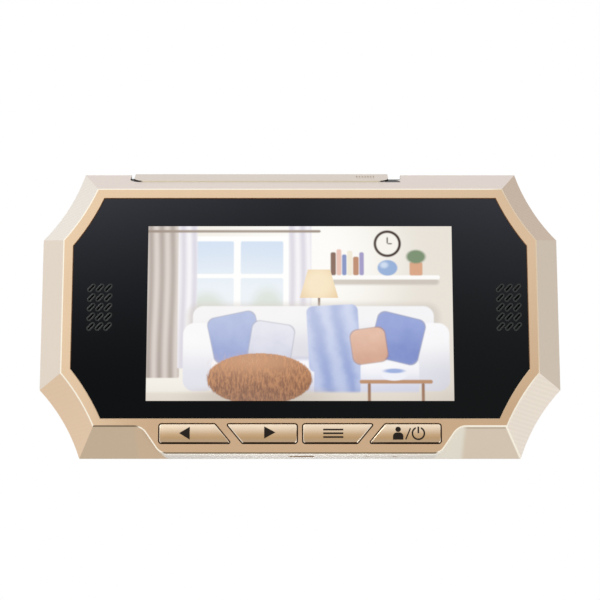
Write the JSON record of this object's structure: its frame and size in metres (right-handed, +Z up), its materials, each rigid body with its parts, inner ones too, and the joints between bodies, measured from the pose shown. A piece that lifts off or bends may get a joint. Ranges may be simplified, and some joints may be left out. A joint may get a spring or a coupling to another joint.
{
  "type": "peephole door camera",
  "caption": "Indoor monitor of a digital door viewer: bevelled gold case, wide screen behind a black window, sound grilles, a row of keys and a lift-off battery lid.",
  "frame": {"origin": "middle of the bounding box at its lowest height, where the chin stands", "axes": "+Z up, the screen faces -Y, +X to the viewer's right"},
  "size_m": [0.165, 0.0224, 0.0923],
  "materials": {
    "bezel_gold": "satin champagne anodising",
    "key_gold": "glossy champagne plating",
    "lid_gold": "satin champagne anodising",
    "window_black": "gloss black acrylic",
    "tape": "adhesive film",
    "foam": "closed-cell foam",
    "display_glass": "clear",
    "can_steel": "thin sheet",
    "clamp_steel": "stamped sheet",
    "flex": "polyimide film",
    "board": "solder mask",
    "switch_black": "moulded",
    "plunger": "moulded",
    "screw_steel": "zinc plated",
    "rear_black": "fine texture",
    "bay_plastic": "moulded",
    "battery": "shrink sleeve",
    "contact_gold": "plated",
    "speaker_basket": "plated",
    "speaker_cone": "film",
    "wire": "insulation",
    "socket_steel": "plated",
    "socket_white": "moulded",
    "rubber_black": "soft",
    "chip": "moulded",
    "capacitor": "ceramic"
  },
  "bodies": {
    "case": {"battery_bay": "bay_plastic", "battery_contacts": "contact_gold", "board_screws": "screw_steel", "camera_pins": "contact_gold", "camera_socket": "socket_white", "card_socket": "socket_steel", "case_screws": "screw_steel", "chip_capacitors": "capacitor", "clamp_frame": "clamp_steel", "clamp_screws": "screw_steel", "display_flex": "flex", "display_gasket": "foam", "display_glass": "display_glass", "display_socket": "socket_white", "front_bezel": "bezel_gold", "key_board": "board", "key_ribbon": "flex", "light_box": "can_steel", "main_board": "board", "memory_chip": "chip", "microphone": "socket_steel", "microphone_boot": "rubber_black", "panel_tape": "tape", "processor": "chip", "rear_cover": "rear_black", "reset_switch": "switch_black", "shield_can": "socket_steel", "speaker_cone_left": "speaker_cone", "speaker_cone_right": "speaker_cone", "speaker_gasket_left": "foam", "speaker_gasket_right": "foam", "speaker_leads": "wire", "speaker_left": "speaker_basket", "speaker_right": "speaker_basket", "switch_menu": "switch_black", "switch_next": "switch_black", "switch_power": "switch_black", "switch_previous": "switch_black", "usb_shell": "socket_steel", "usb_tongue": "switch_black", "window_panel": "window_black"},
    "button_previous": {"key_previous": "key_gold", "plunger_previous": "plunger"},
    "button_next": {"key_next": "key_gold", "plunger_next": "plunger"},
    "button_menu": {"key_menu": "key_gold", "plunger_menu": "plunger"},
    "button_power": {"key_power": "key_gold", "plunger_power": "plunger"},
    "reset_button": {"reset_plunger": "plunger"},
    "lid": {"top_cover": "lid_gold"},
    "battery": {"battery_pack": "battery", "battery_terminals": "contact_gold"}
  },
  "joints": [
    {"name": "press_previous", "type": "slide", "parent": "case", "child": "button_previous", "axis": [0, 1, 0], "range_m": [0, 0.00035], "stiffness_N_per_m": 400},
    {"name": "press_next", "type": "slide", "parent": "case", "child": "button_next", "axis": [0, 1, 0], "range_m": [0, 0.00035], "stiffness_N_per_m": 400},
    {"name": "press_menu", "type": "slide", "parent": "case", "child": "button_menu", "axis": [0, 1, 0], "range_m": [0, 0.00035], "stiffness_N_per_m": 400},
    {"name": "press_power", "type": "slide", "parent": "case", "child": "button_power", "axis": [0, 1, 0], "range_m": [0, 0.00035], "stiffness_N_per_m": 400},
    {"name": "press_reset", "type": "slide", "parent": "case", "child": "reset_button", "axis": [0, 0, 1], "range_m": [0, 0.00025], "stiffness_N_per_m": 400},
    {"name": "lid_lift", "type": "slide", "parent": "case", "child": "lid", "axis": [0, 0, 1], "range_m": [0, 0.06]},
    {"name": "battery_lift", "type": "slide", "parent": "case", "child": "battery", "axis": [0, 0, 1], "range_m": [0, 0.048]}
  ],
  "couplings": [
    {"joint": "battery_lift", "follows": "lid_lift", "ratio": 0.8}
  ]
}
